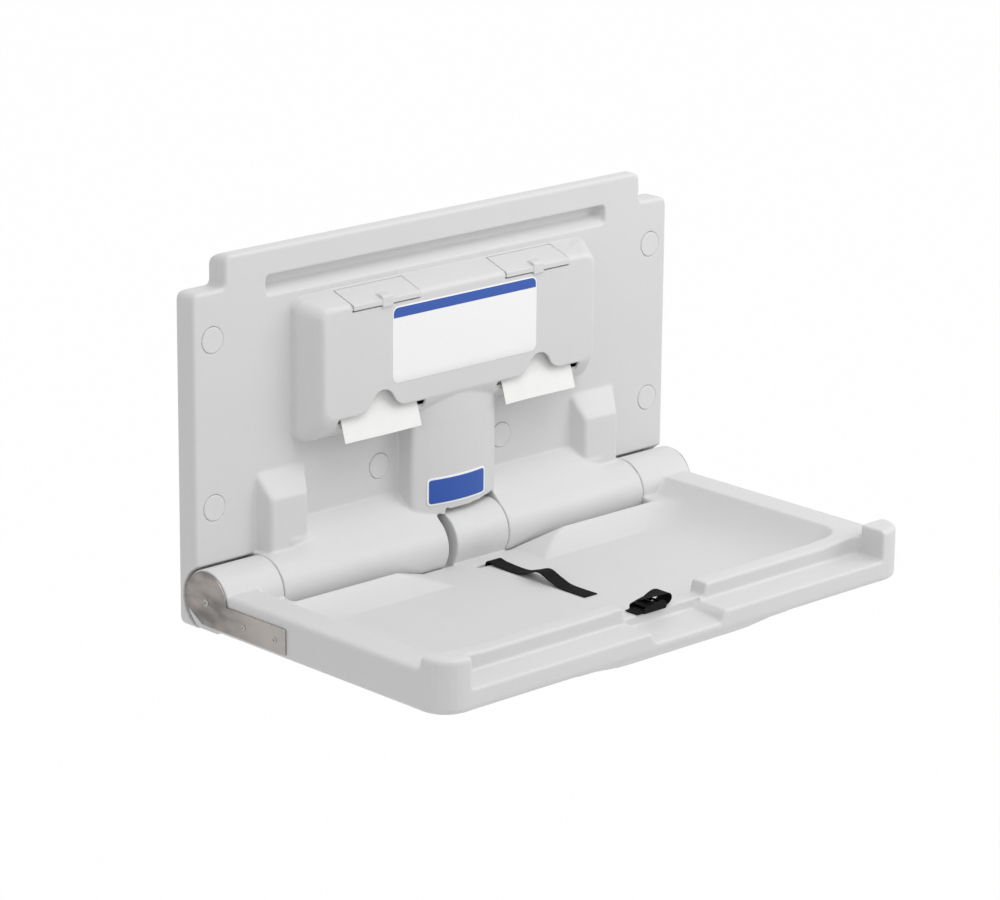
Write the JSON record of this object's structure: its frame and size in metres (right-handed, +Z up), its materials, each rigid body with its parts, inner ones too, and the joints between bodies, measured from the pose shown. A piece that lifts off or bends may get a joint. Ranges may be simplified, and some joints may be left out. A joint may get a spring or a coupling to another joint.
{
  "type": "baby changing station",
  "caption": "Wall-mounted fold-down baby changing station with a tray bed, safety strap, liner dispenser with lids and a hinge with a concealed gas spring.",
  "frame": {"origin": "on the wall, at the back face of the wall panel, in its middle and level with the hinge axis", "axes": "+X to the right seen from the room, +Y into the wall, +Z up"},
  "size_m": [0.895, 0.526, 0.512],
  "materials": {
    "moulding": "fine-grained moulded polyethylene, pale grey",
    "cap": "smooth moulded plastic, pale grey",
    "steel": "brushed stainless steel",
    "dark_steel": "black painted steel tube",
    "bushing": "black bearing plastic",
    "paper": "soft white tissue paper",
    "webbing": "black woven polyester webbing",
    "buckle": "black moulded nylon"
  },
  "bodies": {
    "wall_unit": {"wall_panel": "moulding", "screw_cap_1": "cap", "screw_cap_2": "cap", "screw_cap_3": "cap", "screw_cap_4": "cap", "screw_cap_5": "cap", "screw_cap_6": "cap", "hinge_shaft": "steel", "pivot_screw_left": "steel", "pivot_screw_right": "steel", "dispenser_cover": "moulding", "lid_pin_left": "steel", "lid_pin_right": "steel", "liner_pack_left": "paper", "liner_pack_right": "paper", "liner_sheet_left": "paper", "liner_sheet_right": "paper", "gas_spring_body": "dark_steel", "gas_spring_anchor_pin": "steel"},
    "bed": {"bed_tray": "moulding", "hinge_bush_left": "bushing", "hinge_bush_middle": "bushing", "hinge_bush_right": "bushing", "hinge_plate_left": "steel", "hinge_plate_right": "steel", "plate_screw_left_rear": "steel", "plate_screw_left_front": "steel", "plate_screw_right_rear": "steel", "plate_screw_right_front": "steel", "gas_spring_crank_pin": "steel", "strap_long": "webbing", "strap_short": "webbing", "strap_pin_rear": "steel", "strap_pin_front": "steel", "buckle_body": "buckle", "buckle_pin": "steel"},
    "left_lid": {"lid_left": "moulding"},
    "right_lid": {"lid_right": "moulding"},
    "spring_rod": {"gas_spring_rod": "steel"},
    "cam_lever": {"buckle_lever": "buckle"}
  },
  "joints": [
    {"name": "bed_hinge", "type": "hinge", "parent": "wall_unit", "child": "bed", "pos_m": [0, -0.057, 0], "axis": [-1, 0, 0], "range_deg": [0, 90], "deforming": ["strap_long"]},
    {"name": "left_lid_hinge", "type": "hinge", "parent": "wall_unit", "child": "left_lid", "pos_m": [-0.142, -0.043, 0.3856], "axis": [-1, 0, 0], "range_deg": [0, 108]},
    {"name": "right_lid_hinge", "type": "hinge", "parent": "wall_unit", "child": "right_lid", "pos_m": [0.142, -0.043, 0.3856], "axis": [-1, 0, 0], "range_deg": [0, 108]},
    {"name": "gas_spring_slide", "type": "slide", "parent": "wall_unit", "child": "spring_rod", "axis": [0, 0, 1], "range_m": [-0.0369, 0]},
    {"name": "cam_lever_hinge", "type": "hinge", "parent": "bed", "child": "cam_lever", "pos_m": [-0.01, -0.461, 0.0042], "axis": [0, 1, 0], "range_deg": [0, 90]}
  ],
  "couplings": [
    {"joint": "gas_spring_slide", "follows": "bed_hinge", "m_per_rad": -0.023408}
  ]
}
